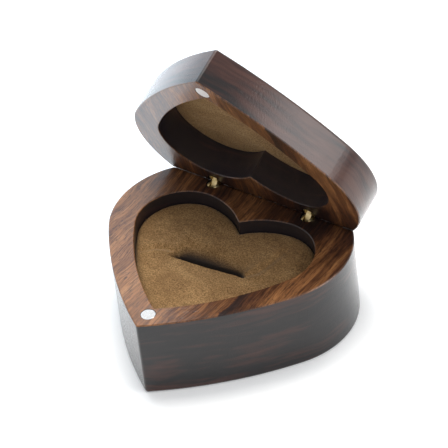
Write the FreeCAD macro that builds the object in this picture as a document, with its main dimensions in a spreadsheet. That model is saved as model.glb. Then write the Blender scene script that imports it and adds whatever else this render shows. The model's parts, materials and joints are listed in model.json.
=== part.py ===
import FreeCAD, Part
import math
import os

import Sketcher

# Heart-shaped wooden ring box, shown open.
# Row frame: millimetres, +Z up, origin at the middle of the base's underside, the heart's
# tip towards -Y, its two lobes and the hinges towards +Y, and X = 0 the plane of symmetry.
# The lid's own frame is the row frame with the box shut and Z = 0 at the lid's rim.

SIZES = {
    # Wooden shells
    "base_height": 22.7,
    "lid_thickness": 10.4,
    "closed_gap": 0.1,
    "open_angle": 68.0,
    "tip_round": 0.9,
    "cleft_round": 0.4,
    "edge_round": 0.8,
    "rim_chamfer": 0.25,
    "pocket_chamfer": 0.2,
    # Outer heart: a long side arc whose centre lies across the plane of symmetry, then a lobe arc
    "outer_side_x": -61.5,
    "outer_side_y": 59.9,
    "outer_lobe_x": 10.66,
    "outer_lobe_y": 9.38,
    "outer_lobe_radius": 22.95,
    # Pocket heart: the same, with a flatter crown arc between the lobe arc and the cleft
    "pocket_side_x": -40.8,
    "pocket_side_y": 37.5,
    "pocket_lobe_x": 13.13,
    "pocket_lobe_y": 6.55,
    "pocket_lobe_radius": 12.34,
    "pocket_crown_x": 14.05,
    "pocket_crown_y": -0.94,
    "pocket_corner_round": 0.5,
    "base_pocket_depth": 18.7,
    "lid_pocket_depth": 9.0,
    # Magnets
    "magnet_radius": 2.0,
    "magnet_thickness": 2.0,
    "magnet_chamfer": 0.15,
    "magnet_y": -27.4,
    "magnet_recess": 0.05,
    # Barrel hinges: two pins each, joined by one link
    "hinge_x": 14.75,
    "pin_y": 23.36,
    "pin_rise": 2.0,
    "pin_radius": 0.5,
    "pin_length": 3.7,
    "ear_bore_radius": 0.51,
    "barrel_radius": 2.0,
    "barrel_tail": 5.6,
    "ear_radius": 1.95,
    "head_radius": 2.35,
    "slot_width": 1.8,
    "slot_floor": 1.5,
    "glue_groove_depth": 0.2,
    "glue_groove_width": 0.4,
    "glue_groove_pitch": 1.2,
    "link_thickness": 1.6,
    "link_radius": 0.92,
    "link_bore_radius": 0.56,
    "barrel_hole_radius": 2.05,
    "barrel_hole_depth": 8.0,
    # Cushion and linings
    "lining_clearance": 0.15,
    "cushion_card": 1.0,
    "cushion_card_gap": 0.1,
    "cushion_top_drop": 3.05,
    "suede": 0.6,
    "slit_length": 22.0,
    "slit_width": 1.2,
    "slit_depth": 12.0,
    "slit_y": -1.2,
    "lining_card": 0.4,
    "lining_suede": 0.4,
}

GLUE_GROOVES = 3
SIDES = {"left": -1, "right": 1}
X_AXIS = FreeCAD.Vector(1, 0, 0)
Z_AXIS = FreeCAD.Vector(0, 0, 1)

doc = FreeCAD.newDocument("ring_box")
sheet = doc.addObject("Spreadsheet::Sheet", "Sizes")
for row, (alias, value) in enumerate(SIZES.items(), start=1):
    sheet.set("A%d" % row, alias)
    sheet.set("B%d" % row, str(value))
    sheet.setAlias("B%d" % row, alias)
doc.recompute()


def size(alias):
    """Return a driving dimension as the sheet holds it."""
    return float(sheet.get(alias))


# ---------------------------------------------------------------- sketches

def origin_plane(body, role):
    """Return one of a body's own origin planes."""
    return next(plane for plane in body.Origin.OriginFeatures if plane.Role == role)


def new_sketch(body, name, role, height=None):
    """Add a sketch on an origin plane, lifted along its normal by an expression."""
    sketch = body.newObject("Sketcher::SketchObject", name)
    sketch.AttachmentSupport = [(origin_plane(body, role), "")]
    sketch.MapMode = "FlatFace"
    if height:
        sketch.setExpression("AttachmentOffset.Base.z", height)
    return sketch


def bind(sketch, kind, geometry, expression, name):
    """Add a named dimension to a sketch and bind it to the sheet."""
    index = sketch.addConstraint(Sketcher.Constraint(kind, *geometry))
    sketch.renameConstraint(index, name)
    sketch.setExpression("Constraints." + name, expression)


def heart_arcs(outline, arcs, inset=()):
    """Return centre, radius, start and end angle of each arc from the tip to the cleft.

    inset holds the aliases of the sizes by which the outline is set in all round."""
    centres = [(size("%s_%s_x" % (outline, arc)), size("%s_%s_y" % (outline, arc))) for arc in arcs]
    lobe = centres[1]
    lobe_radius = size(outline + "_lobe_radius") - sum(size(alias) for alias in inset)
    radii = [math.dist(lobe, centre) + lobe_radius for centre in centres]
    joints = [
        math.atan2(lobe[1] - centre[1], lobe[0] - centre[0])
        for centre in centres if centre != lobe
    ]
    first, last = centres[0], centres[-1]
    tip_angle = -math.acos(-first[0] / radii[0])
    cleft_angle = math.acos(-last[0] / radii[-1])
    starts = [tip_angle] + joints
    ends = joints + [cleft_angle]
    return list(zip(centres, radii, starts, ends))


def heart_sketch(sketch, outline, arcs, inset=()):
    """Draw a heart of tangent arcs, symmetric about X = 0, with its sizes bound to the sheet."""
    right = heart_arcs(outline, arcs, inset)
    left = [
        ((-centre[0], centre[1]), radius, math.pi - end, math.pi - start)
        for centre, radius, start, end in reversed(right)
    ]
    for centre, radius, start, end in right + left:
        circle = Part.Circle(FreeCAD.Vector(*centre, 0), Z_AXIS, radius)
        sketch.addGeometry(Part.ArcOfCircle(circle, start, end), False)

    count = len(arcs)
    last = 2 * count - 1
    start_point, end_point, centre_point, origin, y_axis = 1, 2, 3, (-1, 1), -2
    for index in range(last):
        kind = "Coincident" if index == count - 1 else "Tangent"
        sketch.addConstraint(
            Sketcher.Constraint(kind, index, end_point, index + 1, start_point))
    sketch.addConstraint(Sketcher.Constraint("Coincident", last, end_point, 0, start_point))
    sketch.addConstraint(Sketcher.Constraint("PointOnObject", 0, start_point, y_axis))
    sketch.addConstraint(Sketcher.Constraint("PointOnObject", count - 1, end_point, y_axis))
    for index in range(count - 1):
        sketch.addConstraint(Sketcher.Constraint(
            "Symmetric", index, end_point, last - index, start_point, y_axis))
    sketch.addConstraint(Sketcher.Constraint("Equal", 1, last - 1))
    for index, arc in enumerate(arcs):
        for axis, kind, place in (("x", "DistanceX", 0), ("y", "DistanceY", 1)):
            alias = "%s_%s_%s" % (outline, arc, axis)
            value = right[index][0][place]
            bind(sketch, kind, (*origin, index, centre_point, value), "Sizes." + alias, alias)
    expression = " - ".join("Sizes." + alias for alias in (outline + "_lobe_radius", *inset))
    bind(sketch, "Radius", (1, right[1][1]), expression, outline + "_lobe_radius")


def circle_sketch(sketch, centres, radius_alias):
    """Draw circles at (x alias, x sign, y alias), all of one radius from the sheet."""
    for index, (x_alias, sign, y_alias) in enumerate(centres):
        centre_x = sign * size(x_alias) if x_alias else 0.0
        centre = FreeCAD.Vector(centre_x, size(y_alias), 0)
        sketch.addGeometry(Part.Circle(centre, Z_AXIS, size(radius_alias)), False)
        bind(sketch, "Radius", (index, size(radius_alias)), "Sizes." + radius_alias, "radius%d" % index)
        bind(sketch, "DistanceY", (-1, 1, index, 3, centre.y), "Sizes." + y_alias, "y%d" % index)
        if x_alias:
            expression = "%d * Sizes.%s" % (sign, x_alias)
            bind(sketch, "DistanceX", (-1, 1, index, 3, centre.x), expression, "x%d" % index)
        else:
            sketch.addConstraint(Sketcher.Constraint("PointOnObject", index, 3, -2))


# ---------------------------------------------------------------- wooden shells

def pocket(body, sketch, name, depth, upwards):
    """Cut a sketch into a body and make sure that it removed wood."""
    before = body.Tip.Shape.Volume
    feature = body.newObject("PartDesign::Pocket", name)
    feature.Profile = sketch
    feature.Reversed = upwards
    feature.setExpression("Length", depth)
    doc.recompute()
    if feature.Shape.Volume > before - 1e-3:
        raise RuntimeError(name + " cuts nothing")
    return feature


def edge_names(shape, wanted):
    """Return the names of the edges for which wanted(edge) holds."""
    return ["Edge%d" % (number + 1) for number, edge in enumerate(shape.Edges) if wanted(edge)]


def dress(body, kind, name, wanted, alias):
    """Round or chamfer the edges of a body that wanted(edge) picks."""
    base = body.Tip
    feature = body.newObject("PartDesign::" + kind, name)
    feature.Base = (base, edge_names(base.Shape, wanted))
    feature.setExpression("Radius" if kind == "Fillet" else "Size", "Sizes." + alias)
    doc.recompute()
    return feature


def is_flat_at(edge, height):
    """Say whether an edge lies in the horizontal plane at a height."""
    return all(abs(vertex.Z - height) < 1e-4 for vertex in edge.Vertexes)


def is_corner_at(edge, y_place):
    """Say whether an edge is the upright corner on the plane of symmetry nearest to a place."""
    ends = edge.Vertexes
    upright = len(ends) == 2 and abs(ends[0].Z - ends[1].Z) > 1.0
    return upright and all(abs(end.X) < 1e-4 and abs(end.Y - y_place) < 0.1 for end in ends)


def is_pocket_arc(edge):
    """Say whether an edge is one of the large arcs of the pocket's outline."""
    radii = [radius for centre, radius, start, end in heart_arcs("pocket", POCKET_ARCS)]
    is_arc = isinstance(edge.Curve, Part.Circle)
    return is_arc and any(abs(edge.Curve.Radius - radius) < 1e-4 for radius in radii)


def heart_corner(outline, arcs, end):
    """Return the Y of a heart's tip or cleft."""
    centre, radius, start_angle, end_angle = heart_arcs(outline, arcs)[0 if end == "tip" else -1]
    angle = start_angle if end == "tip" else end_angle
    return centre[1] + radius * math.sin(angle)


OUTER_ARCS = ("side", "lobe")
POCKET_ARCS = ("side", "lobe", "crown")


BEVEL_REACH = 20.0
ROLL_RADIUS = "Sizes.pin_rise - Sizes.closed_gap / 2"


def bevel_sketch(body, upwards):
    """Draw the wedge that is planed off the rear of a rim, as deep as half the opening.

    Its front is an arc about the hinge pin, so that the two rims roll past each other."""
    sketch = new_sketch(body, body.Name + "_bevel", "YZ_Plane")
    rim = 0.0 if upwards else size("base_height")
    sign = 1 if upwards else -1
    half_turn = math.radians(size("open_angle") / 2)
    radius = size("pin_rise") - size("closed_gap") / 2
    pin = FreeCAD.Vector(size("pin_y"), rim + sign * radius, 0)
    near = FreeCAD.Vector(pin.x, rim, 0)
    leave = pin + FreeCAD.Vector(math.sin(half_turn), -sign * math.cos(half_turn), 0) * radius
    drop = (BEVEL_REACH - radius * math.tan(half_turn / 2)) * math.tan(half_turn)
    far = FreeCAD.Vector(near.x + BEVEL_REACH, rim, 0)
    low = FreeCAD.Vector(far.x, rim + sign * drop, 0)

    quarter = math.pi / 2
    angles = (-quarter, half_turn - quarter) if upwards else (quarter - half_turn, quarter)
    near_end, leave_end = (1, 2) if upwards else (2, 1)
    sketch.addGeometry(Part.ArcOfCircle(Part.Circle(pin, Z_AXIS, radius), *angles), False)
    for begin, end in ((near, far), (far, low), (low, leave)):
        sketch.addGeometry(Part.LineSegment(begin, end), False)
    for kind, places in (
            ("Tangent", (0, near_end, 1, 1)), ("Coincident", (1, 2, 2, 1)),
            ("Coincident", (2, 2, 3, 1)), ("Tangent", (3, 2, 0, leave_end)),
            ("Horizontal", (1,)), ("Vertical", (2,))):
        sketch.addConstraint(Sketcher.Constraint(kind, *places))
    bind(sketch, "Radius", (0, radius), ROLL_RADIUS, "roll_radius")
    bind(sketch, "DistanceX", (-1, 1, 0, 3, pin.x), "Sizes.pin_y", "pin_y")
    if upwards:
        sketch.addConstraint(Sketcher.Constraint("PointOnObject", 1, 1, -1))
    else:
        bind(sketch, "DistanceY", (-1, 1, 1, 1, rim), "Sizes.base_height", "rim_height")
    bind(sketch, "DistanceX", (1, 1, 1, 2, BEVEL_REACH), "%f" % BEVEL_REACH, "reach")
    slope = "(%f - (%s) * tan(Sizes.open_angle / 4)) * tan(Sizes.open_angle / 2)"
    upright = (2, 1, 2, 2, drop) if upwards else (2, 2, 2, 1, drop)
    bind(sketch, "DistanceY", upright, slope % (BEVEL_REACH, ROLL_RADIUS), "drop")
    return sketch


def wooden_shell(name, thickness, rim, pocket_depth, upwards):
    """Build the base (pocket from above) or the lid (pocket from below, cut upwards)."""
    body = doc.addObject("PartDesign::Body", name)
    body.Label = name
    outline = new_sketch(body, name + "_outline", "XY_Plane")
    heart_sketch(outline, "outer", OUTER_ARCS)
    pad = body.newObject("PartDesign::Pad", name + "_block")
    pad.Profile = outline
    pad.setExpression("Length", thickness)
    doc.recompute()

    tip = heart_corner("outer", OUTER_ARCS, "tip")
    cleft = heart_corner("outer", OUTER_ARCS, "cleft")
    dress(body, "Fillet", name + "_tip", lambda edge: is_corner_at(edge, tip), "tip_round")
    dress(body, "Fillet", name + "_cleft", lambda edge: is_corner_at(edge, cleft), "cleft_round")
    far_side = size("lid_thickness") if upwards else 0.0
    dress(body, "Fillet", name + "_edge", lambda edge: is_flat_at(edge, far_side), "edge_round")
    rim_height = 0.0 if upwards else size("base_height")
    dress(body, "Chamfer", name + "_rim_edge", lambda edge: is_flat_at(edge, rim_height),
          "rim_chamfer")

    bevel = body.newObject("PartDesign::Pocket", name + "_bevel_cut")
    bevel.Profile = bevel_sketch(body, upwards)
    bevel.Type = "ThroughAll"
    bevel.Midplane = True
    doc.recompute()

    heart = new_sketch(body, name + "_pocket_outline", "XY_Plane", rim)
    heart_sketch(heart, "pocket", POCKET_ARCS)
    pocket(body, heart, name + "_pocket", pocket_depth, upwards)
    for corner in ("tip", "cleft"):
        place = heart_corner("pocket", POCKET_ARCS, corner)
        dress(body, "Fillet", "%s_pocket_%s" % (name, corner),
              lambda edge: is_corner_at(edge, place), "pocket_corner_round")
    dress(body, "Chamfer", name + "_pocket_edge", lambda edge: is_flat_at(edge, rim_height)
          and is_pocket_arc(edge), "pocket_chamfer")

    holes = new_sketch(body, name + "_hinge_holes", "XY_Plane", rim)
    circle_sketch(holes, [("hinge_x", sign, "pin_y") for sign in SIDES.values()],
                  "barrel_hole_radius")
    pocket(body, holes, name + "_barrel_holes", "Sizes.barrel_hole_depth", upwards)

    seat = new_sketch(body, name + "_magnet_seat", "XY_Plane", rim)
    circle_sketch(seat, [(None, 0, "magnet_y")], "magnet_radius")
    pocket(body, seat, name + "_magnet_hole", "Sizes.magnet_thickness + Sizes.magnet_recess", upwards)
    return body


def magnet(name, placement):
    """Build one disc magnet, its lower face at Z = 0 of its own frame."""
    body = doc.addObject("PartDesign::Body", name)
    body.Label = name
    sketch = new_sketch(body, name + "_circle", "XY_Plane")
    circle_sketch(sketch, [(None, 0, "magnet_y")], "magnet_radius")
    pad = body.newObject("PartDesign::Pad", name + "_disc")
    pad.Profile = sketch
    pad.setExpression("Length", "Sizes.magnet_thickness")
    doc.recompute()
    dress(body, "Chamfer", name + "_edge", lambda edge: edge.Closed, "magnet_chamfer")
    body.Placement = placement
    return body


# ---------------------------------------------------------------- where the open lid is

def turned(y_place, z_place, degrees):
    """Turn a point of the YZ plane about the origin, opening the box by some degrees."""
    angle = math.radians(degrees)
    return (
        y_place * math.cos(angle) + z_place * math.sin(angle),
        z_place * math.cos(angle) - y_place * math.sin(angle),
    )


def base_pin_height():
    return size("base_height") + size("closed_gap") / 2 - size("pin_rise")


def opened(degrees):
    """Return the rotation about +X that opening by some degrees makes."""
    return FreeCAD.Rotation(X_AXIS, -degrees)


def lid_placement():
    """Return the open lid's placement: each of a hinge's two pins takes half the opening."""
    pin_y = size("pin_y")
    lid_pin_z = size("pin_rise") - size("closed_gap") / 2
    link_y, link_z = turned(0.0, 2 * size("pin_rise"), size("open_angle") / 2)
    moved_y, moved_z = turned(pin_y, lid_pin_z, size("open_angle"))
    base = FreeCAD.Vector(0, pin_y + link_y - moved_y, base_pin_height() + link_z - moved_z)
    return FreeCAD.Placement(base, opened(size("open_angle")))


LID = lid_placement()


# ---------------------------------------------------------------- barrel hinges

def part_object(kind, name, **bindings):
    """Add a Part primitive whose properties are bound to expressions."""
    feature = doc.addObject("Part::" + kind, name)
    for prop, expression in bindings.items():
        feature.setExpression(prop.replace("__", "."), expression)
    return feature


def boolean(kind, name, base, tool):
    """Add Part::Cut or Part::Common of two objects."""
    feature = doc.addObject("Part::" + kind, name)
    feature.Base = base
    feature.Tool = tool
    return feature


def fused(name, shapes):
    """Add the union of some objects."""
    feature = doc.addObject("Part::MultiFuse", name)
    feature.Shapes = shapes
    return feature


def cross_cylinder(name, radius, length, height="0"):
    """Add a cylinder along X, centred on X = 0 and Y = 0."""
    cylinder = part_object("Cylinder", name, Radius=radius, Height=length)
    cylinder.Placement.Rotation = FreeCAD.Rotation(FreeCAD.Vector(0, 1, 0), 90)
    cylinder.setExpression("Placement.Base.x", "-(%s) / 2" % length)
    cylinder.setExpression("Placement.Base.z", height)
    return cylinder


def centred_box(name, width, depth, bottom, height):
    """Add a box centred on X = 0 and Y = 0, standing on a given height."""
    box = part_object("Box", name, Length=width, Width=depth, Height=height)
    box.setExpression("Placement.Base.x", "-(%s) / 2" % width)
    box.setExpression("Placement.Base.y", "-(%s) / 2" % depth)
    box.setExpression("Placement.Base.z", bottom)
    return box


def groove_ring(name, height):
    """Build the ring that cuts one glue groove round a barrel, its lower face at a height."""
    discs = []
    for part, radius in (("_rim", "2 * Sizes.barrel_radius"),
                         ("_core", "Sizes.barrel_radius - Sizes.glue_groove_depth")):
        disc = part_object("Cylinder", name + part, Radius=radius,
                           Height="Sizes.glue_groove_width")
        disc.setExpression("Placement.Base.z", height)
        discs.append(disc)
    return boolean("Cut", name, *discs)


def barrel(name, placement):
    """Build a barrel with a rounded head: its pin axis is X through its own origin, its tail
    points down."""
    across = "3 * Sizes.barrel_radius"
    stock = part_object("Cylinder", name + "_stock", Radius="Sizes.barrel_radius",
                        Height="Sizes.barrel_tail + Sizes.ear_radius")
    stock.setExpression("Placement.Base.z", "-Sizes.barrel_tail")
    shank = centred_box(name + "_shank", across, across, "-2 * Sizes.barrel_tail",
                        "2 * Sizes.barrel_tail")
    nose = cross_cylinder(name + "_nose", "Sizes.ear_radius", across)
    ball = part_object("Sphere", name + "_ball", Radius="Sizes.head_radius")
    head = boolean("Common", name + "_head", nose, ball)
    profile = fused(name + "_profile", [shank, head])
    rounded = boolean("Common", name + "_rounded", stock, profile)
    slot = centred_box(name + "_slot", "Sizes.slot_width", across,
                       "-Sizes.slot_floor", "Sizes.slot_floor + 2 * Sizes.barrel_radius")
    bore = cross_cylinder(name + "_bore", "Sizes.ear_bore_radius", across)
    cutters = [slot, bore]
    for number in range(GLUE_GROOVES):
        height = "-Sizes.barrel_tail + %d * Sizes.glue_groove_pitch" % (number + 1)
        cutters.append(groove_ring("%s_groove%d" % (name, number), height))
    piece = boolean("Cut", name, rounded, fused(name + "_cutters", cutters))
    piece.Label = name
    piece.Placement = placement
    return piece


def hinge_pin(name, placement):
    """Build a pin along X, its ends just inside the barrel's round surface."""
    piece = cross_cylinder(name, "Sizes.pin_radius", "Sizes.pin_length")
    doc.recompute()
    centred = FreeCAD.Placement(piece.Placement)
    for place in ("x", "z"):
        piece.setExpression("Placement.Base." + place, None)
    piece.Label = name
    piece.Placement = placement * centred
    return piece


def hinge_link(name, placement):
    """Build the link: a plate with round ends and a bore at each, the lower at its origin."""
    span = "2 * Sizes.pin_rise"
    outline = fused(name + "_outline", [
        centred_box(name + "_web", "Sizes.link_thickness", "2 * Sizes.link_radius", "0", span),
        cross_cylinder(name + "_foot", "Sizes.link_radius", "Sizes.link_thickness"),
        cross_cylinder(name + "_head", "Sizes.link_radius", "Sizes.link_thickness", span),
    ])
    outline.Refine = True
    through = "2 * Sizes.link_thickness"
    bores = fused(name + "_bores", [
        cross_cylinder(name + "_foot_bore", "Sizes.link_bore_radius", through),
        cross_cylinder(name + "_head_bore", "Sizes.link_bore_radius", through, span),
    ])
    piece = boolean("Cut", name, outline, bores)
    piece.Label = name
    piece.Placement = placement
    return piece


def hinge(side, sign):
    """Build one barrel hinge: two barrels, two pins and the link between them."""
    hinge_x = sign * size("hinge_x")
    low = FreeCAD.Vector(hinge_x, size("pin_y"), base_pin_height())
    in_lid = FreeCAD.Vector(hinge_x, size("pin_y"), size("pin_rise") - size("closed_gap") / 2)
    high = LID.multVec(in_lid)
    upright = FreeCAD.Placement(low, FreeCAD.Rotation())
    flipped = FreeCAD.Placement(high, opened(size("open_angle")) * FreeCAD.Rotation(X_AXIS, 180))
    return [
        barrel(side + "_base_barrel", upright),
        barrel(side + "_lid_barrel", flipped),
        hinge_pin(side + "_base_pin", upright),
        hinge_pin(side + "_lid_pin", flipped),
        hinge_link(side + "_link", FreeCAD.Placement(low, opened(size("open_angle") / 2))),
    ]


# ---------------------------------------------------------------- cushion and linings

def heart_slab(name, inset, bottom, height):
    """Extrude the pocket's heart, set in from the pocket's wall, between two heights."""
    outline = doc.addObject("Sketcher::SketchObject", name + "_outline")
    heart_sketch(outline, "pocket", POCKET_ARCS, inset)
    slab = doc.addObject("Part::Extrusion", name)
    slab.Base = outline
    slab.DirMode = "Custom"
    slab.Dir = Z_AXIS
    slab.Solid = True
    slab.setExpression("LengthFwd", height)
    slab.setExpression("Placement.Base.z", bottom)
    return slab


def slit_box(name, length, width, depth):
    """Add the box of the ring slit, open at the cushion's top."""
    top = "Sizes.base_height - Sizes.cushion_top_drop"
    box = centred_box(name, length, width, "%s - (%s)" % (top, depth), "%s + 1" % depth)
    box.setExpression("Placement.Base.y", "Sizes.slit_y - (%s) / 2" % width)
    return box


def cushion():
    """Build the ring cushion: a backing card, slit foam, and suede tucked into the slit."""
    clearance = ("lining_clearance",)
    floor = "Sizes.base_height - Sizes.base_pocket_depth"
    card_top = floor + " + Sizes.cushion_card"
    foam_height = ("Sizes.base_pocket_depth - Sizes.cushion_card - Sizes.cushion_top_drop"
                   " - Sizes.suede")
    inner = clearance + ("suede",)

    card = heart_slab("cushion_backing_card", inner + ("cushion_card_gap",), floor,
                      "Sizes.cushion_card")
    block = heart_slab("cushion_foam_block", inner, card_top, foam_height)
    slot = slit_box("cushion_foam_slot", "Sizes.slit_length + 2 * Sizes.suede",
                    "Sizes.slit_width + 2 * Sizes.suede", "Sizes.slit_depth + Sizes.suede")
    foam = boolean("Cut", "cushion_foam", block, slot)

    cover = heart_slab("cushion_suede_cover", clearance, floor,
                       "Sizes.base_pocket_depth - Sizes.cushion_top_drop")
    filling = heart_slab("cushion_suede_filling", inner, floor,
                         foam_height + " + Sizes.cushion_card")
    pouch = slit_box("cushion_suede_pouch", "Sizes.slit_length + 2 * Sizes.suede",
                     "Sizes.slit_width + 2 * Sizes.suede", "Sizes.slit_depth + Sizes.suede")
    hollow = boolean("Cut", "cushion_suede_hollow", filling, pouch)
    skin = boolean("Cut", "cushion_suede_skin", cover, hollow)
    slit = slit_box("cushion_suede_slit", "Sizes.slit_length", "Sizes.slit_width",
                    "Sizes.slit_depth")
    suede = boolean("Cut", "cushion_suede", skin, slit)
    return [card, foam, suede]


def lid_lining():
    """Build the card and suede that line the lid's pocket, in the lid's own frame."""
    clearance = ("lining_clearance",)
    card_bottom = "Sizes.lid_pocket_depth - Sizes.lining_card"
    card = heart_slab("lid_lining_card", clearance, card_bottom, "Sizes.lining_card")
    suede = heart_slab("lid_lining_suede", clearance, card_bottom + " - Sizes.lining_suede",
                       "Sizes.lining_suede")
    doc.recompute()
    for layer in (card, suede):
        lift = FreeCAD.Placement(layer.Placement)
        layer.setExpression("Placement.Base.z", None)
        layer.Placement = LID * lift
    return [card, suede]


# ---------------------------------------------------------------- the whole box

base_body = wooden_shell("base_body", "Sizes.base_height", "Sizes.base_height",
                         "Sizes.base_pocket_depth", upwards=False)
lid_body = wooden_shell("lid_body", "Sizes.lid_thickness", None,
                        "Sizes.lid_pocket_depth", upwards=True)
lid_body.Placement = LID

magnet_depth = size("magnet_thickness") + size("magnet_recess")
magnets = [
    magnet("base_magnet", FreeCAD.Placement(
        FreeCAD.Vector(0, 0, size("base_height") - magnet_depth), FreeCAD.Rotation())),
    magnet("lid_magnet", LID * FreeCAD.Placement(
        FreeCAD.Vector(0, 0, size("magnet_recess")), FreeCAD.Rotation())),
]

hinges = [piece for side, sign in SIDES.items() for piece in hinge(side, sign)]
pieces = [base_body, lid_body] + magnets + hinges + cushion() + lid_lining()
doc.recompute()

# ---------------------------------------------------------------- checks and export

for item in doc.Objects:
    if "Invalid" in item.State or "Error" in item.State:
        raise RuntimeError("%s failed: %s" % (item.Name, item.State))

for piece in pieces:
    shape = piece.Shape
    if shape.isNull() or not shape.isValid() or len(shape.Solids) != 1:
        raise RuntimeError(piece.Label + " is not one valid solid")

os.makedirs("parts", exist_ok=True)
for piece in pieces:
    piece.Shape.exportStep("parts/%s.step" % piece.Label)
    print("%-22s %10.2f mm3" % (piece.Label, piece.Shape.Volume))
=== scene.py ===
import json
import math

import bmesh
import bpy
import numpy as np
from mathutils import Matrix, Vector, noise


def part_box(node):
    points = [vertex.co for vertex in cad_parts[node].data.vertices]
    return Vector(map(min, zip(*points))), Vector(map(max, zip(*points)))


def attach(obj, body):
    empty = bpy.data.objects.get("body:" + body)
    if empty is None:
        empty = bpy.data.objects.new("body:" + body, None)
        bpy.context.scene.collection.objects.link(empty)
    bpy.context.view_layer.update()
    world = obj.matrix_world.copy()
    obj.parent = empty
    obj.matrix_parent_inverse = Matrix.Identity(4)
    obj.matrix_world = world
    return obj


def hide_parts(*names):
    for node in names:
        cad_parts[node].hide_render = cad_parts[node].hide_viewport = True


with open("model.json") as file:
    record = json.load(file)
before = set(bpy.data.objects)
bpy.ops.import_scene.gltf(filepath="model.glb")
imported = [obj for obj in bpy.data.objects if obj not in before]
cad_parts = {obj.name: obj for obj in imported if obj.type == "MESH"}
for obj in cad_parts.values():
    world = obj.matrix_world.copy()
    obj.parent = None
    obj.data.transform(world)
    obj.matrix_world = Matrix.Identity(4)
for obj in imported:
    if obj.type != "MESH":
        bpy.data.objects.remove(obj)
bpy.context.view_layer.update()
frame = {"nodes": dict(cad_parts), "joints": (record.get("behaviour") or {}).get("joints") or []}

MM = 0.001

# The camera looks at a point just inside the base's left lobe (millimetres and degrees).
CAMERA_AIM = Vector((-13.5, 24.0, 8.7))
CAMERA_AZIMUTH = 38.66
CAMERA_ELEVATION = 39.54
CAMERA_ROLL = -6.92
CAMERA_DISTANCE = 807.0
CAMERA_LENS = 244.4
SENSOR_WIDTH = 36.0

# The studio's brightest side, as a direction.
BRIGHT_SIDE = (-0.40, 0.50, 0.77)

# The pocket's heart, as the CAD model has it: centres of its side, lobe and crown arcs.
SIDE_ARC = (-40.8, 37.5)
LOBE_ARC = (13.13, 6.55)
CROWN_ARC = (14.05, -0.94)
LOBE_RADIUS = 12.34

# A heart grid stops just short of the heart's sides, where its columns would have no length.
GRID_REACH = 0.985
OUTLINE_POINTS = 601

NODES = frame["nodes"]
JOINTS = {joint["name"]: joint for joint in frame["joints"]}


# ---------------------------------------------------------------- places from the frame

def node_box(name):
    """Return a CAD node's lowest and highest corners in millimetres."""
    low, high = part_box(name)
    return low / MM, high / MM


def turn_about(point, degrees):
    """Return the rotation about an axis along X through a point."""
    return (Matrix.Translation(point) @ Matrix.Rotation(math.radians(degrees), 4, "X")
            @ Matrix.Translation(-point))


def shutting():
    """Return the matrix, in millimetres, that carries the open lid to where it is shut."""
    lower = JOINTS["left_link_swing"]
    upper = JOINTS["lid_swing"]
    steps = []
    for joint in (lower, upper):
        pivot = Vector(joint["pos_m"]) / MM
        pivot.x = 0.0
        steps.append(turn_about(pivot, joint["range_deg"][1]))
    return steps[0] @ steps[1]


SHUT = shutting()
RIM_HEIGHT = node_box("base_body")[1].z
CUSHION_LOW, CUSHION_HIGH = node_box("cushion_suede")


# ---------------------------------------------------------------- material building

class Graph:
    """A material's node tree, with a short call for each kind of node that is used."""

    def __init__(self, name):
        self.material = bpy.data.materials.new(name)
        self.material.use_nodes = True
        self.tree = self.material.node_tree
        self.shader = self.tree.nodes["Principled BSDF"]

    def node(self, kind, inputs=(), **settings):
        made = self.tree.nodes.new("ShaderNode" + kind)
        for key, value in settings.items():
            setattr(made, key, value)
        for socket, value in dict(inputs).items():
            self.feed(made.inputs[socket], value)
        return made

    def feed(self, socket, value):
        if isinstance(value, bpy.types.NodeSocket):
            self.tree.links.new(value, socket)
        else:
            socket.default_value = value

    def set(self, **values):
        for name, value in values.items():
            self.feed(self.shader.inputs[name.replace("_", " ")], value)

    def math(self, operation, first, second=0.0, third=0.0):
        made = self.node("Math", {0: first, 1: second, 2: third}, operation=operation)
        return made.outputs[0]

    def step(self, value, low, high):
        made = self.node("MapRange", {"Value": value, "From Min": low, "From Max": high},
                         interpolation_type="SMOOTHSTEP")
        return made.outputs["Result"]

    def mapped(self, vector, scale=(1, 1, 1), location=(0, 0, 0), rotation=(0, 0, 0)):
        made = self.node("Mapping", {"Vector": vector, "Location": location,
                                     "Rotation": rotation, "Scale": scale})
        return made.outputs["Vector"]

    def noise(self, vector, scale=1.0, detail=2.0, roughness=0.5, distortion=0.0, output="Fac"):
        made = self.node("TexNoise", {"Vector": vector, "Scale": scale, "Detail": detail,
                                      "Roughness": roughness, "Distortion": distortion})
        return made.outputs[output]

    def ramp(self, factor, stops):
        made = self.node("ValToRGB", {"Fac": factor})
        elements = made.color_ramp.elements
        while len(elements) < len(stops):
            elements.new(0.5)
        for element, (place, colour) in zip(elements, stops):
            element.position = place
            element.color = (*colour, 1.0)
        return made.outputs["Color"]

    def mix(self, factor, first, second, blend="MIX"):
        made = self.node("Mix", data_type="RGBA", blend_type=blend)
        self.feed(made.inputs["Factor"], factor)
        for socket, value in ((made.inputs[6], first), (made.inputs[7], second)):
            self.feed(socket, (*value, 1.0) if isinstance(value, tuple) else value)
        return made.outputs[2]

    def bump(self, height, strength, distance, normal=None):
        inputs = {"Height": height, "Strength": strength, "Distance": distance}
        if normal is not None:
            inputs["Normal"] = normal
        return self.node("Bump", inputs).outputs["Normal"]

    def place(self, shut=None):
        """Return object coordinates in millimetres, in the frame of the shut box."""
        raw = self.node("TexCoord").outputs["Object"]
        scaled = self.mapped(raw, scale=(1 / MM,) * 3)
        if shut is None:
            return scaled
        return self.mapped(scaled, location=shut.translation, rotation=shut.to_euler())


# ---------------------------------------------------------------- wood

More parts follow.
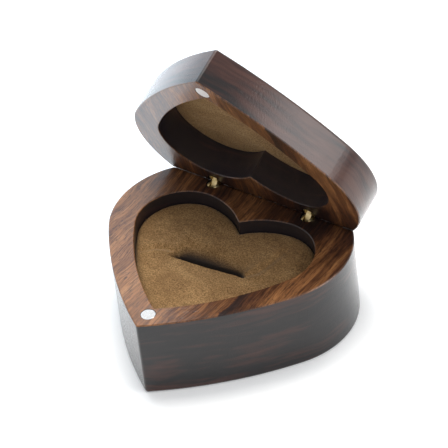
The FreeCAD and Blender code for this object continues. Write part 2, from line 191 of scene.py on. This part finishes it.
# How closely each layer of the grain repeats, per millimetre across, along and through it.
BROAD_GRAIN = (0.15, 0.022, 0.15)
STREAK_GRAIN = (0.95, 0.035, 0.95)
FIBRE_GRAIN = (3.2, 0.11, 3.2)
PORE_GRAIN = (4.6, 0.55, 4.6)
WALL_SHEETS = (0.030, 0.026, 0.11)
WALL_LINES = (0.10, 0.06, 0.85)

# How far the grain wanders from straight, in millimetres.
GRAIN_WANDER = (4.5, 0.0, 4.5)

# The dark vein in the right of the rim: its sharp left edge and its soft right edge, in X.
VEIN_LEFT = (17.3, 17.8)
VEIN_RIGHT = (25.0, 18.5)
VEIN_RAGGEDNESS = 3.0
VEIN_DARKNESS = 0.12

# Where painted light makes the rim lighter towards the left, and painted shade makes it darker
# towards the rear, in millimetres.
PAINTED_LIGHT_FROM_TO = (34.0, -24.0)
PAINTED_SHADE_FROM_TO = (8.0, 26.0)
REAR_PAINTED_SHADE = 0.10

RIM_STOPS = [
    (0.36, (0.021, 0.0105, 0.0095)),
    (0.45, (0.060, 0.023, 0.012)),
    (0.53, (0.145, 0.060, 0.024)),
    (0.62, (0.245, 0.110, 0.043)),
    (0.74, (0.320, 0.165, 0.073)),
]
# Wall colours, near black: partly the wood's finish, partly painted shade on faces turned from the
# light.
WALL_FINISH_AND_SHADE_STOPS = [
    (0.42, (0.0020, 0.0022, 0.0034)),
    (0.54, (0.0070, 0.0048, 0.0052)),
    (0.63, (0.034, 0.012, 0.0090)),
    (0.74, (0.066, 0.026, 0.018)),
]
FIBRE_STOPS = [(0.36, (0.42, 0.39, 0.42)), (0.57, (1.15, 1.13, 1.10))]
PORE_COLOUR = (0.012, 0.006, 0.005)
POCKET_LIFT = (0.024, 0.019, 0.021)


def grain_layers(g, place):
    """Return the grain's broad, streak and fibre noise, its pores, and the bent coordinates."""
    wander = g.noise(place, scale=0.045, detail=2.0, output="Color")
    shifted = g.node("VectorMath", {0: wander, 1: (0.5, 0.5, 0.5)}, operation="SUBTRACT")
    push = g.node("VectorMath", {0: shifted.outputs[0], 1: GRAIN_WANDER}, operation="MULTIPLY")
    bent = g.node("VectorMath", {0: place, 1: push.outputs[0]}, operation="ADD").outputs[0]

    broad = g.noise(g.mapped(bent, scale=BROAD_GRAIN), detail=3.0, roughness=0.55)
    streaks = g.noise(g.mapped(bent, scale=STREAK_GRAIN), detail=4.0, roughness=0.68)
    fibres = g.noise(g.mapped(bent, scale=FIBRE_GRAIN), detail=3.0, roughness=0.7)
    pores = g.noise(g.mapped(bent, scale=PORE_GRAIN), detail=1.0, roughness=0.5)
    return broad, streaks, fibres, g.step(pores, 0.60, 0.70), bent


def rim_wood(g, place, broad, streaks, painted_light):
    """Return the rim's colour, without its fibres and pores."""
    axes = g.node("SeparateXYZ", {"Vector": place})
    x_mm, y_mm = axes.outputs["X"], axes.outputs["Y"]
    ragged = g.noise(g.mapped(place, scale=(0.5, 0.25, 0.1)), detail=3.0, roughness=0.7)
    vein_edge = g.math("ADD", x_mm, g.math("MULTIPLY", ragged, VEIN_RAGGEDNESS))
    vein = g.math("MULTIPLY", g.step(vein_edge, *VEIN_LEFT), g.step(vein_edge, *VEIN_RIGHT))

    tone = g.math("ADD", g.math("MULTIPLY", broad, 0.56), g.math("MULTIPLY", streaks, 0.44))
    tone = g.math("SUBTRACT", tone, g.math("MULTIPLY", vein, VEIN_DARKNESS))
    # Painted light lightens the rim towards the left, and painted shade darkens it towards the
    # rear.
    painted_left_light = g.math("MULTIPLY", g.step(x_mm, *PAINTED_LIGHT_FROM_TO), painted_light)
    painted_rear_shade = g.math("MULTIPLY", g.step(y_mm, *PAINTED_SHADE_FROM_TO), REAR_PAINTED_SHADE)
    tone = g.math("SUBTRACT", g.math("ADD", tone, painted_left_light), painted_rear_shade)
    return g.ramp(tone, RIM_STOPS)


def wall_wood(g, place, normal, level, layers, brownness):
    """Return the colour of the walls and the flat outer faces, near black partly for their finish
    and partly as painted shade; pocket walls are a little lighter.
    """
    broad, streaks, bent = layers
    sheets = g.noise(g.mapped(bent, scale=WALL_SHEETS), detail=3.0, roughness=0.5,
                     distortion=0.5)
    lines = g.noise(g.mapped(bent, scale=WALL_LINES), detail=2.0, roughness=0.5)
    upright = g.math("ADD", g.math("MULTIPLY", sheets, 0.7), g.math("MULTIPLY", lines, 0.3))
    flat = g.math("ADD", g.math("MULTIPLY", broad, 0.35), g.math("MULTIPLY", streaks, 0.65))

    from_middle = g.mapped(place, scale=(1, 1, 0))
    outward = g.node("VectorMath", {0: normal, 1: from_middle}, operation="DOT_PRODUCT")
    in_pocket = g.step(outward.outputs["Value"], 1.0, -1.0)
    outside = g.math("SUBTRACT", 1.0, in_pocket)
    tone = g.math("ADD", g.mix(level, upright, flat), g.math("MULTIPLY", outside, brownness))
    return g.mix(in_pocket, g.ramp(tone, WALL_FINISH_AND_SHADE_STOPS), POCKET_LIFT, blend="ADD")


def wood(name, shut=None, brownness=0.04, painted_light=0.10):
    """Dark figured wood, its grain along Y, redder on the rims than on the walls, whose
    near-black is partly their finish and partly painted shade.

    brownness shifts the outer walls from near black towards brown, and painted_light is
    painted light that lightens the left of the rim."""
    g = Graph(name)
    place = g.place(shut)
    broad, streaks, fibres, pores, bent = grain_layers(g, place)

    normal = g.node("TexCoord").outputs["Normal"]
    if shut is not None:
        normal = g.mapped(normal, rotation=shut.to_euler())
    facing = g.math("ABSOLUTE", g.node("SeparateXYZ", {"Vector": normal}).outputs["Z"])
    level = g.step(facing, 0.35, 0.75)
    z_mm = g.node("SeparateXYZ", {"Vector": place}).outputs["Z"]
    from_rim = g.math("ABSOLUTE", g.math("SUBTRACT", z_mm, RIM_HEIGHT))
    on_rim = g.math("MULTIPLY", level, g.step(from_rim, 7.0, 6.4))

    walls = wall_wood(g, place, normal, level, (broad, streaks, bent), brownness)
    # Faces off the rim take the darker wall colour, which is partly painted shade.
    colour = g.mix(on_rim, walls, rim_wood(g, place, broad, streaks, painted_light))
    rim_shade = g.mix(on_rim, (1.0, 1.0, 1.0), g.ramp(fibres, FIBRE_STOPS))
    colour = g.mix(1.0, colour, rim_shade, blend="MULTIPLY")
    pores_on_rim = g.math("MULTIPLY", g.math("MULTIPLY", pores, on_rim), 0.7)
    colour = g.mix(pores_on_rim, colour, PORE_COLOUR)

    orange_peel = g.noise(place, scale=2.2, detail=3.0, roughness=0.65)
    relief = g.math("SUBTRACT", g.math("MULTIPLY", fibres, 0.5), pores)
    lacquer = g.bump(orange_peel, 0.42, 0.00012)
    lacquer = g.bump(relief, g.math("MULTIPLY", on_rim, 0.30), 0.00004, lacquer)
    roughness = g.math("ADD", 0.26, g.math("MULTIPLY", fibres, 0.18))
    g.set(Base_Color=colour, Roughness=roughness, Normal=lacquer, IOR=1.5,
          Specular_IOR_Level=0.12, Coat_Weight=0.75, Coat_Roughness=0.13, Coat_IOR=1.5,
          Coat_Normal=lacquer)
    return g.material


# ---------------------------------------------------------------- metals, card, suede

# Painted shade in the slit: how far below the cushion's top the suede begins to darken, and where
# it is darkest, in millimetres, and how far from the slit that reaches.
SLIT_SHADE_START = 0.8
SLIT_SHADE_END = 2.7
SLIT_SHADE_REACH = 8.0
SLIT_SHADE_PAST_ENDS = 2.0
SLIT_SHADE_COLOUR = (0.022, 0.016, 0.014)


def brass():
    """Polished brass, a little rubbed and tarnished."""
    g = Graph("brass_polished")
    place = g.place()
    tarnish = g.noise(place, scale=0.9, detail=4.0, roughness=0.6)
    colour = g.ramp(tarnish, [(0.35, (0.55, 0.40, 0.17)), (0.62, (0.88, 0.70, 0.38))])
    scratches = g.noise(g.mapped(place, scale=(12.0, 1.2, 1.2)), detail=2.0, roughness=0.6)
    roughness = g.math("ADD", 0.20, g.math("MULTIPLY", tarnish, 0.22))
    g.set(Base_Color=colour, Metallic=1.0, Roughness=roughness,
          Normal=g.bump(scratches, 0.08, 0.00002))
    return g.material


def nickel(least_roughness, shut=None):
    """Bright nickel plate with very fine wear."""
    g = Graph("nickel_plate" + ("_lid" if shut else ""))
    place = g.place(shut)
    wear = g.noise(place, scale=2.4, detail=5.0, roughness=0.65)
    colour = g.ramp(wear, [(0.3, (0.68, 0.66, 0.64)), (0.7, (0.76, 0.74, 0.72))])
    roughness = g.math("ADD", least_roughness, g.math("MULTIPLY", wear, 0.10))
    g.set(Base_Color=colour, Metallic=1.0, Roughness=roughness, Normal=g.bump(wear, 0.02, 0.00002))
    return g.material


def card():
    """Grey-brown pressed card, with flecks of fibre."""
    g = Graph("pressed_card")
    place = g.place()
    fibre = g.noise(g.mapped(place, scale=(3.0, 1.0, 3.0)), detail=4.0, roughness=0.7)
    colour = g.ramp(fibre, [(0.3, (0.10, 0.075, 0.05)), (0.7, (0.24, 0.19, 0.13))])
    g.set(Base_Color=colour, Roughness=0.9, Normal=g.bump(fibre, 0.3, 0.00005))
    return g.material


def suede(name, shut=None, top=None):
    """Golden-brown suede: a fine upright nap, brushed into lighter and darker patches.

    Below the given top, near the slit, the colour is darkened: painted shade inside the slit."""
    g = Graph(name)
    place = g.place(shut)
    nap = g.noise(place, scale=2.9, detail=3.0, roughness=0.85)
    tufts = g.noise(place, scale=1.9, detail=3.0, roughness=0.7)
    brushed = g.noise(g.mapped(place, scale=(0.10, 0.16, 0.10)), detail=3.0, roughness=0.6,
                      distortion=0.8)
    colour = g.ramp(brushed, [
        (0.30, (0.205, 0.116, 0.048)),
        (0.52, (0.262, 0.154, 0.066)),
        (0.74, (0.325, 0.200, 0.090)),
    ])
    speckle = g.ramp(nap, [(0.38, (0.40, 0.37, 0.33)), (0.62, (1.42, 1.41, 1.38))])
    colour = g.mix(1.0, colour, speckle, blend="MULTIPLY")
    tuft_shade = g.ramp(tufts, [(0.30, (0.84, 0.83, 0.82)), (0.70, (1.12, 1.12, 1.12))])
    colour = g.mix(1.0, colour, tuft_shade, blend="MULTIPLY")
    if top is not None:
        axes = g.node("SeparateXYZ", {"Vector": place}).outputs
        middle = g.math("MULTIPLY_ADD", axes["X"], SLIT_SLOPE, SLIT_MIDDLE_Y)
        across = g.math("ABSOLUTE", g.math("SUBTRACT", axes["Y"], middle))
        along = g.math("ABSOLUTE", g.math("SUBTRACT", axes["X"], SLIT_MIDDLE_X))
        # Painted shade: the suede darkens with depth near the slit, where shade falls inside it.
        slit_shade = g.step(axes["Z"], top - SLIT_SHADE_START, top - SLIT_SHADE_END)
        for reach, limit in ((across, SLIT_SHADE_REACH), (along, SLIT_HALF_LENGTH + SLIT_SHADE_PAST_ENDS)):
            slit_shade = g.math("MULTIPLY", slit_shade, g.step(reach, limit, limit - 2.0))
        colour = g.mix(slit_shade, colour, SLIT_SHADE_COLOUR)
    height = g.math("ADD", g.math("MULTIPLY", nap, 0.6), g.math("MULTIPLY", tufts, 0.7))
    g.set(Base_Color=colour, Roughness=0.95, Sheen_Weight=0.18, Sheen_Roughness=0.45,
          Sheen_Tint=(0.95, 0.80, 0.58, 1.0), Specular_IOR_Level=0.15,
          Normal=g.bump(height, 0.75, 0.00022))
    return g.material


# ---------------------------------------------------------------- the pocket's heart as curves

def heart_limits(x_mm, inset):
    """Return the lowest and highest Y of the pocket's heart at some X, set in from its wall."""
    reach = np.abs(x_mm)
    lobe_radius = LOBE_RADIUS - inset

    def arc(centre, sign):
        radius = math.dist(centre, LOBE_ARC) + lobe_radius
        inside = np.maximum(radius ** 2 - (reach - centre[0]) ** 2, 0.0)
        return centre[1] + sign * np.sqrt(inside)

    def joint_x(centre):
        return LOBE_ARC[0] + lobe_radius * (LOBE_ARC[0] - centre[0]) / math.dist(centre, LOBE_ARC)

    low = np.where(reach < joint_x(SIDE_ARC), arc(SIDE_ARC, -1), arc(LOBE_ARC, -1))
    high = np.where(reach < joint_x(CROWN_ARC), arc(CROWN_ARC, 1), arc(LOBE_ARC, 1))
    return low, high


def heart_half_width(inset):
    return LOBE_ARC[0] + LOBE_RADIUS - inset


def heart_columns(count, inset):
    """Return the X places of the columns of a heart-shaped grid, closer towards its sides."""
    angle = np.linspace(-1.0, 1.0, count) * math.pi / 2 * GRID_REACH
    return heart_half_width(inset) * np.sin(angle)


def wall_distance(points, inset):
    """Return each point's distance from the heart's outline."""
    x_mm = heart_columns(OUTLINE_POINTS, inset)
    low, high = heart_limits(x_mm, inset)
    outline = np.concatenate([np.column_stack([x_mm, low]), np.column_stack([x_mm, high])])
    return np.array([np.hypot(*(outline - point).T).min() for point in points])


def path_distance(points, path):
    """Return each point's distance from a path, and how far along it the nearest place is."""
    path = np.array(path, float)
    best = np.full(len(points), 1e9)
    along = np.zeros(len(points))
    lengths = np.hypot(*np.diff(path, axis=0).T)
    total = lengths.sum()
    done = 0.0
    for begin, end, length in zip(path[:-1], path[1:], lengths):
        share = np.clip(((points - begin) @ (end - begin)) / length ** 2, 0, 1)
        nearest = begin + share[:, None] * (end - begin)
        gap = np.hypot(*(points - nearest).T)
        closer = gap < best
        best = np.where(closer, gap, best)
        along = np.where(closer, (done + share * length) / total, along)
        done += length
    return best, along


# ---------------------------------------------------------------- cushion

CUSHION_INSET = 0.05
SLIT_MIDDLE_X = -0.1
SLIT_HALF_LENGTH = 10.6
SLIT_MIDDLE_Y = -1.2
SLIT_SLOPE = 0.081
SLIT_DEPTH = 10.0
SLIT_HALF_GAP = 1.15
SLIT_END_GAP = 0.3
FRONT_LIP = 0.40
REAR_LIP = 1.2
EDGE_ROUND = 1.5
CROWN = 0.75
CROWN_WIDTH = 5.0
EDGE_BELOW_TOP = 0.55

# Grid points in front of the slit, around each lip, across its floor and behind it.
CUSHION_COLUMNS = 221
FRONT_ROWS = 70
LIP_ROWS = 15
FLOOR_ROWS = 5
REAR_ROWS = 75

# The suede sags and leans into the slit from behind: how deep, and how far back, in millimetres.
SAG = (0.45, 5.5)
REAR_LEAN = (2.3, 3.7)
FRONT_LEAN = (0.30, 1.3)
LEAN_HALF_LENGTH = 10.2
CARD_THICKNESS = 1.0

CREASES = [
    # path, depth, width
    ([(-11.5, -1.2), (-13.5, -1.3), (-16.0, -2.3), (-19.4, -5.2)], 0.60, 0.8),
    ([(10.5, -0.8), (13.0, 1.8), (14.0, 5.9), (14.6, 10.6), (14.4, 13.2)], 0.55, 0.9),
    ([(11.0, -0.9), (14.5, -1.4), (18.5, -0.9)], 0.20, 1.2),
    ([(-11.5, -0.8), (-12.8, 2.2), (-14.2, 6.0)], 0.20, 1.3),
]


def slit_line(x_mm):
    """Return the Y of the middle of the slit, which lies slightly askew."""
    return SLIT_MIDDLE_Y + SLIT_SLOPE * x_mm


def gentle(points, scale, seed):
    """Return smooth noise at plan points, from about -1 to 1."""
    return np.array([noise.noise(Vector((x / scale, y / scale, seed))) for x, y in points])


def cushion_surface():
    """Return the cushion's top as a grid of points in millimetres: columns along Y."""
    x_mm = heart_columns(CUSHION_COLUMNS, CUSHION_INSET)
    low, high = heart_limits(x_mm, CUSHION_INSET)
    reach = np.abs(x_mm - SLIT_MIDDLE_X) / SLIT_HALF_LENGTH
    opening = np.clip(1.0 - reach ** 8, 0.0, 1.0)
    fade = np.clip((1.06 - reach) / 0.14, 0.0, 1.0)
    depth = SLIT_DEPTH * fade * fade * (3 - 2 * fade)
    columns = []
    for x, y_low, y_high, gap_share, deep in zip(x_mm, low, high, opening, depth):
        gap = SLIT_HALF_GAP * (SLIT_END_GAP + (1.0 - SLIT_END_GAP) * gap_share)
        middle_y = slit_line(x) - SLIT_HALF_GAP + gap
        front_start = middle_y - gap - FRONT_LIP
        rear_end = middle_y + gap + REAR_LIP
        front_start = min(max(front_start, y_low + 0.25 * (y_high - y_low)), y_high)
        rear_end = max(min(rear_end, y_high - 0.25 * (y_high - y_low)), front_start + 1e-3)
        turn = np.linspace(0, math.pi / 2, LIP_ROWS)[1:]
        front = y_low + (front_start - y_low) * np.sin(np.linspace(0, math.pi / 2, FRONT_ROWS))
        down = front_start + (middle_y - gap - front_start) * np.sin(turn)
        up = (middle_y + gap) + (rear_end - middle_y - gap) * (1 - np.cos(turn))
        widening = 1 - np.cos(np.linspace(0, math.pi / 2, REAR_ROWS))
        back = rear_end + (y_high - rear_end) * widening[1:]
        middle = np.linspace(middle_y - gap, middle_y + gap, FLOOR_ROWS)[1:]
        y_mm = np.concatenate([front, down, middle, up, back])
        drop = np.concatenate([
            np.zeros(len(front)), deep * (1 - np.cos(turn)), np.full(len(middle), deep),
            deep * (1 - np.sin(turn)), np.zeros(len(back)),
        ])
        y_mm = np.maximum.accumulate(y_mm)
        columns.append(np.column_stack([np.full(len(y_mm), x), y_mm, -drop]))
    return np.array(columns)


def cushion_heights(grid):
    """Shape the cushion's top: crown, rounded edge, creases and soft unevenness."""
    shape = grid.shape
    points = grid.reshape(-1, 3)[:, :2]
    wall = wall_distance(points, CUSHION_INSET)
    height = CROWN * (1.0 - np.exp(-wall / CROWN_WIDTH)) - EDGE_BELOW_TOP
    tuck = np.clip(1.0 - wall / EDGE_ROUND, 0.0, 1.0)
    height -= EDGE_ROUND * 0.8 * (1.0 - np.sqrt(np.maximum(1.0 - tuck ** 2, 0.0)))
    for path, depth, width in CREASES:
        gap, along = path_distance(points, path)
        strength = np.sin(math.pi * np.clip(0.12 + 0.88 * along, 0, 1)) ** 0.5
        height -= depth * strength * np.exp(-(gap / width) ** 2)
        height += 0.20 * depth * strength * np.exp(-((gap - 2.2 * width) / (1.3 * width)) ** 2)
    height += 0.14 * gentle(points, 9.0, 3.1) + 0.06 * gentle(points, 3.5, 7.7)
    across = (points[:, 0] - SLIT_MIDDLE_X) / LEAN_HALF_LENGTH
    behind = points[:, 1] - slit_line(points[:, 0]) - SLIT_HALF_GAP
    height -= SAG[0] * np.exp(-across ** 2 - (behind / SAG[1]) ** 2)
    deeper_left = 1.0 - 0.30 * across
    rear = REAR_LEAN[0] * deeper_left * np.exp(-(behind / REAR_LEAN[1]) ** 2)
    front = FRONT_LEAN[0] * np.exp(-(behind / FRONT_LEAN[1]) ** 2)
    lean = np.where(behind > 0, rear, front)
    height -= lean * np.exp(-across ** 12)
    shaped = grid.reshape(-1, 3).copy()
    shaped[:, 2] += height + CUSHION_HIGH.z
    return shaped.reshape(shape)


def closed_block(name, top, bottom_z):
    """Make a closed mesh from a grid of top points and a flat underside."""
    columns, rows = top.shape[:2]
    under = top.copy()
    under[:, :, 2] = bottom_z
    vertices = np.concatenate([top.reshape(-1, 3), under.reshape(-1, 3)]) * MM
    offset = columns * rows
    index = np.arange(offset).reshape(columns, rows)
    faces = []
    for i in range(columns - 1):
        for j in range(rows - 1):
            a, b = index[i, j], index[i + 1, j]
            c, d = index[i + 1, j + 1], index[i, j + 1]
            faces.append((a, b, c, d))
            faces.append((d + offset, c + offset, b + offset, a + offset))
    border = ([index[i, 0] for i in range(columns)]
              + [index[-1, j] for j in range(1, rows)]
              + [index[i, -1] for i in range(columns - 2, -1, -1)]
              + [index[0, j] for j in range(rows - 2, 0, -1)])
    for a, b in zip(border, border[1:] + border[:1]):
        faces.append((b, a, a + offset, b + offset))
    mesh = bpy.data.meshes.new(name)
    mesh.from_pydata([tuple(v) for v in vertices], [], [tuple(int(k) for k in f) for f in faces])
    clean(mesh)
    return bpy.data.objects.new(name, mesh)


def clean(mesh):
    """Weld points that coincide, drop what collapses, and make the faces smooth."""
    work = bmesh.new()
    work.from_mesh(mesh)
    bmesh.ops.remove_doubles(work, verts=work.verts, dist=0.004 * MM)
    bmesh.ops.dissolve_degenerate(work, dist=0.002 * MM, edges=work.edges)
    bmesh.ops.recalc_face_normals(work, faces=work.faces)
    for face in work.faces:
        face.smooth = True
    work.to_mesh(mesh)
    work.free()


def make_cushion():
    """Make the suede ring cushion that fills the base's pocket."""
    top = cushion_heights(cushion_surface())
    piece = closed_block("ring_cushion", top, CUSHION_LOW.z + CARD_THICKNESS)
    bpy.context.scene.collection.objects.link(piece)
    piece.data.materials.append(suede("cushion_suede_nap", top=CUSHION_HIGH.z))
    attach(piece, "base")
    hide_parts("cushion_suede", "cushion_foam")
    return piece


# ---------------------------------------------------------------- lid lining

LINING_THICKNESS = 0.38
LINING_INSET = 0.1
LINING_COLUMNS = 121
LINING_ROWS = 100


def make_lining():
    """Make the suede that is stretched over the card in the lid's pocket."""
    x_mm = heart_columns(LINING_COLUMNS, LINING_INSET)
    low, high = heart_limits(x_mm, LINING_INSET)
    share = (1 - np.cos(np.linspace(0, math.pi, LINING_ROWS))) / 2
    grid = np.array([
        np.column_stack([np.full(len(share), x), y_low + (y_high - y_low) * share,
                         np.full(len(share), lining_face_height())])
        for x, y_low, y_high in zip(x_mm, low, high)
    ])
    points = grid.reshape(-1, 3)[:, :2]
    wall = wall_distance(points, LINING_INSET)
    unevenness = 0.10 * gentle(points, 8.0, 11.3) + 0.05 * gentle(points, 3.0, 5.9)
    relief = unevenness * np.clip(wall / 2.0, 0, 1) + 0.22 * np.exp(-wall / 0.5)
    grid[:, :, 2] += relief.reshape(grid.shape[:2])
    piece = closed_block("lid_lining", grid, lining_face_height() + LINING_THICKNESS)
    rescale = Matrix.Diagonal((MM, MM, MM, 1))
    piece.data.transform(rescale @ SHUT.inverted() @ rescale.inverted())
    bpy.context.scene.collection.objects.link(piece)
    piece.data.materials.append(suede("lining_suede_nap", SHUT))
    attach(piece, "lid")
    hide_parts("lid_lining_suede")
    return piece


def lining_face_height():
    """Return the height, in the shut box, of the lining's visible face."""
    node = NODES["lid_lining_suede"]
    return min((SHUT @ (vertex.co / MM)).z for vertex in node.data.vertices)


# ---------------------------------------------------------------- CAD pieces that stay

def finish_cad_pieces():
    """Give each CAD piece that shows its material."""
    looks = {
        "base_body": wood("figured_wood_base"),
        "lid_body": wood("figured_wood_lid", SHUT, brownness=0.13, painted_light=0.03),
        "base_magnet": nickel(0.13),
        "lid_magnet": nickel(0.40, SHUT),
    }
    board = card()
    metal = brass()
    for name, node in NODES.items():
        if node.hide_render:
            continue
        look = looks.get(name) or (board if name.endswith("card") else metal)
        for slot in node.material_slots:
            slot.material = look


# ---------------------------------------------------------------- floor, light, camera

FLOOR_HALF_WIDTH = 3.0
# The studio's strength on its darkest and brightest sides.
DARK_STRENGTH = 0.20
BRIGHT_STRENGTH = 0.96


def make_floor():
    mesh = bpy.data.meshes.new("floor")
    half = FLOOR_HALF_WIDTH
    corners = [(-half, -half, 0), (half, -half, 0), (half, half, 0), (-half, half, 0)]
    mesh.from_pydata(corners, [], [(0, 1, 2, 3)])
    floor = bpy.data.objects.new("floor", mesh)
    bpy.context.scene.collection.objects.link(floor)
    g = Graph("white_paper_painted_glow")
    place = g.place()
    speck = g.noise(place, scale=0.6, detail=2.0)
    paper = g.ramp(speck, [(0.3, (0.90, 0.90, 0.90)), (0.7, (0.93, 0.93, 0.93))])
    x_mm = g.node("SeparateXYZ", {"Vector": place}).outputs["X"]
    # Painted light: the paper is tinted cool towards the left, standing in for cool light falling
    # there.
    painted_cool_light_left = g.step(x_mm, -12.0, -60.0)
    paper = g.mix(painted_cool_light_left, paper, (0.84, 0.91, 0.98))
    # Painted glow: the paper's faint emission lightens the shadows on it, though it is no lamp.
    g.set(Base_Color=paper, Roughness=0.9, Specular_IOR_Level=0.1,
          Emission_Color=(0.94, 0.97, 1.0, 1.0), Emission_Strength=0.12)
    mesh.materials.append(g.material)


def area_light(name, position, target, width, height, power, colour=(1, 1, 1)):
    data = bpy.data.lights.new(name, "AREA")
    data.shape = "RECTANGLE"
    data.size = width
    data.size_y = height
    data.energy = power
    data.color = colour
    light = bpy.data.objects.new(name, data)
    light.location = position
    direction = Vector(target) - Vector(position)
    light.rotation_euler = direction.to_track_quat("-Z", "Y").to_euler()
    bpy.context.scene.collection.objects.link(light)


def make_world():
    """A white studio, brighter above and to the left of the box than in front of it."""
    world = bpy.data.worlds.new("studio")
    bpy.context.scene.world = world
    world.use_nodes = True
    tree = world.node_tree
    direction = tree.nodes.new("ShaderNodeTexCoord").outputs["Generated"]
    facing = tree.nodes.new("ShaderNodeVectorMath")
    facing.operation = "DOT_PRODUCT"
    tree.links.new(direction, facing.inputs[0])
    facing.inputs[1].default_value = BRIGHT_SIDE
    strength = tree.nodes.new("ShaderNodeMapRange")
    tree.links.new(facing.outputs["Value"], strength.inputs["Value"])
    limits = {"From Min": -1.0, "From Max": 1.0, "To Min": DARK_STRENGTH, "To Max": BRIGHT_STRENGTH}
    for name, value in limits.items():
        strength.inputs[name].default_value = value
    background = tree.nodes["Background"]
    background.inputs["Color"].default_value = (0.97, 0.985, 1.0, 1.0)
    tree.links.new(strength.outputs["Result"], background.inputs["Strength"])


def make_lights():
    make_world()
    area_light("top_left_softbox", (-0.12, 0.22, 0.75), (0, 0, 0.02), 0.40, 0.40, 5.8,
               (1.0, 0.98, 0.95))
    area_light("right_softbox", (0.60, 0.17, 0.34), (0, 0, 0.03), 0.35, 0.35, 1.8)
    area_light("left_window", (-0.55, 0.30, 0.30), (-0.20, 0.10, 0), 0.40, 0.40, 0.9,
               (0.60, 0.80, 1.0))


def camera_axes():
    """Return the camera's right, up and backward directions."""
    azimuth = math.radians(CAMERA_AZIMUTH)
    elevation = math.radians(CAMERA_ELEVATION)
    back = Vector((math.sin(azimuth) * math.cos(elevation),
                   -math.cos(azimuth) * math.cos(elevation), math.sin(elevation)))
    right = (-back).cross(Vector((0, 0, 1))).normalized()
    turn = Matrix.Rotation(math.radians(CAMERA_ROLL), 3, back)
    right = turn @ right
    return right, back.cross(right), back


def make_camera():
    data = bpy.data.cameras.new("camera")
    data.lens = CAMERA_LENS
    data.sensor_width = SENSOR_WIDTH
    data.clip_start = 0.01
    camera = bpy.data.objects.new("camera", data)
    right, up, back = camera_axes()
    axes = Matrix((right, up, back)).transposed().to_4x4()
    camera.matrix_world = Matrix.Translation((CAMERA_AIM + back * CAMERA_DISTANCE) * MM) @ axes
    bpy.context.scene.collection.objects.link(camera)
    bpy.context.scene.camera = camera


make_camera()
make_lights()
make_floor()
make_cushion()
make_lining()
finish_cad_pieces()

bpy.context.scene.view_settings.view_transform = "Standard"
